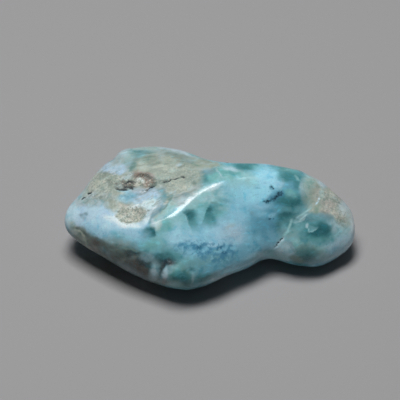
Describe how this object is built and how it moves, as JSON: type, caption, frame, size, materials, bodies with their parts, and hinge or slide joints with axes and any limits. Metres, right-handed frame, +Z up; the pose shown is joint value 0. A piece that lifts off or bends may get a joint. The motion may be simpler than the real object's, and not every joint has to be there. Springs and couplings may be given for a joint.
{
  "type": "larimar freeform",
  "caption": "Freeform nugget of polished larimar, mottled blue and green with khaki matrix, a crisp ridge and a round end lobe; a display or worry stone.",
  "frame": {"origin": "middle of the outline seen from above, on the plane the stone rests on", "axes": "+X along the stone, from the pointed nose to the round lobe; +Y from the long front face to the back; +Z up"},
  "size_m": [0.0626, 0.0356, 0.0193],
  "materials": {
    "larimar": "polished, with matt granular matrix"
  },
  "bodies": {
    "root": {"larimar_nugget": "larimar"}
  },
  "joints": []
}
